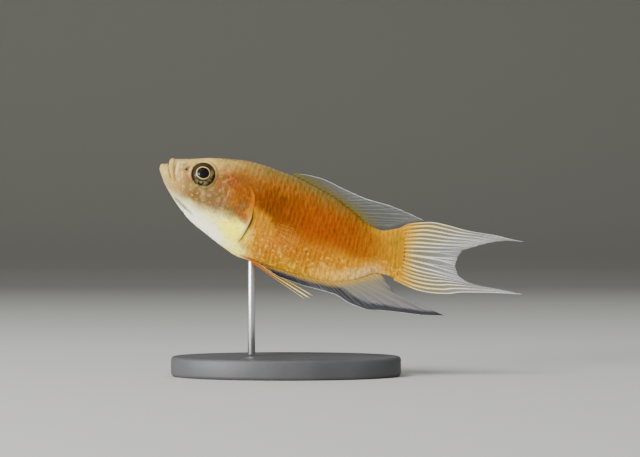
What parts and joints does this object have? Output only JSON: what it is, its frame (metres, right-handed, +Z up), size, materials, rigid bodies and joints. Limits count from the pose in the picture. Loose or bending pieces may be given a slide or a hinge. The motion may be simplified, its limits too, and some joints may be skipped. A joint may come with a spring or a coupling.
{
  "type": "paradise fish",
  "caption": "Life-size display model of a paradise fish with long pointed fins and a lyre tail, nose raised, held by a rod over a flat oval base.",
  "frame": {"origin": "centre of the whole model's footprint, on the floor under the stand's base", "axes": "+X from the fish's head to its tail, +Z up, -Y the fish's left flank, the side the picture shows"},
  "size_m": [0.0727, 0.028, 0.0436],
  "materials": {
    "skin": "wet sheen over scales",
    "eye": "clear gloss",
    "fin": "clear satin",
    "fin_dark": "clear satin",
    "fin_orange": "clear satin",
    "stand_base": "matt",
    "stand_rod": "satin"
  },
  "bodies": {
    "root": {"head": "skin", "lower_jaw": "skin", "gill_cover_left": "skin", "gill_cover_right": "skin", "trunk": "skin", "tail": "skin", "eye_left": "eye", "eye_right": "eye", "fin_dorsal": "fin", "fin_anal": "fin_dark", "fin_caudal_upper": "fin", "fin_caudal_lower": "fin", "fin_pectoral_left": "fin", "fin_pectoral_right": "fin", "fin_pelvic_left": "fin_orange", "fin_pelvic_right": "fin_orange", "stand_base": "stand_base", "stand_rod": "stand_rod"}
  },
  "joints": []
}
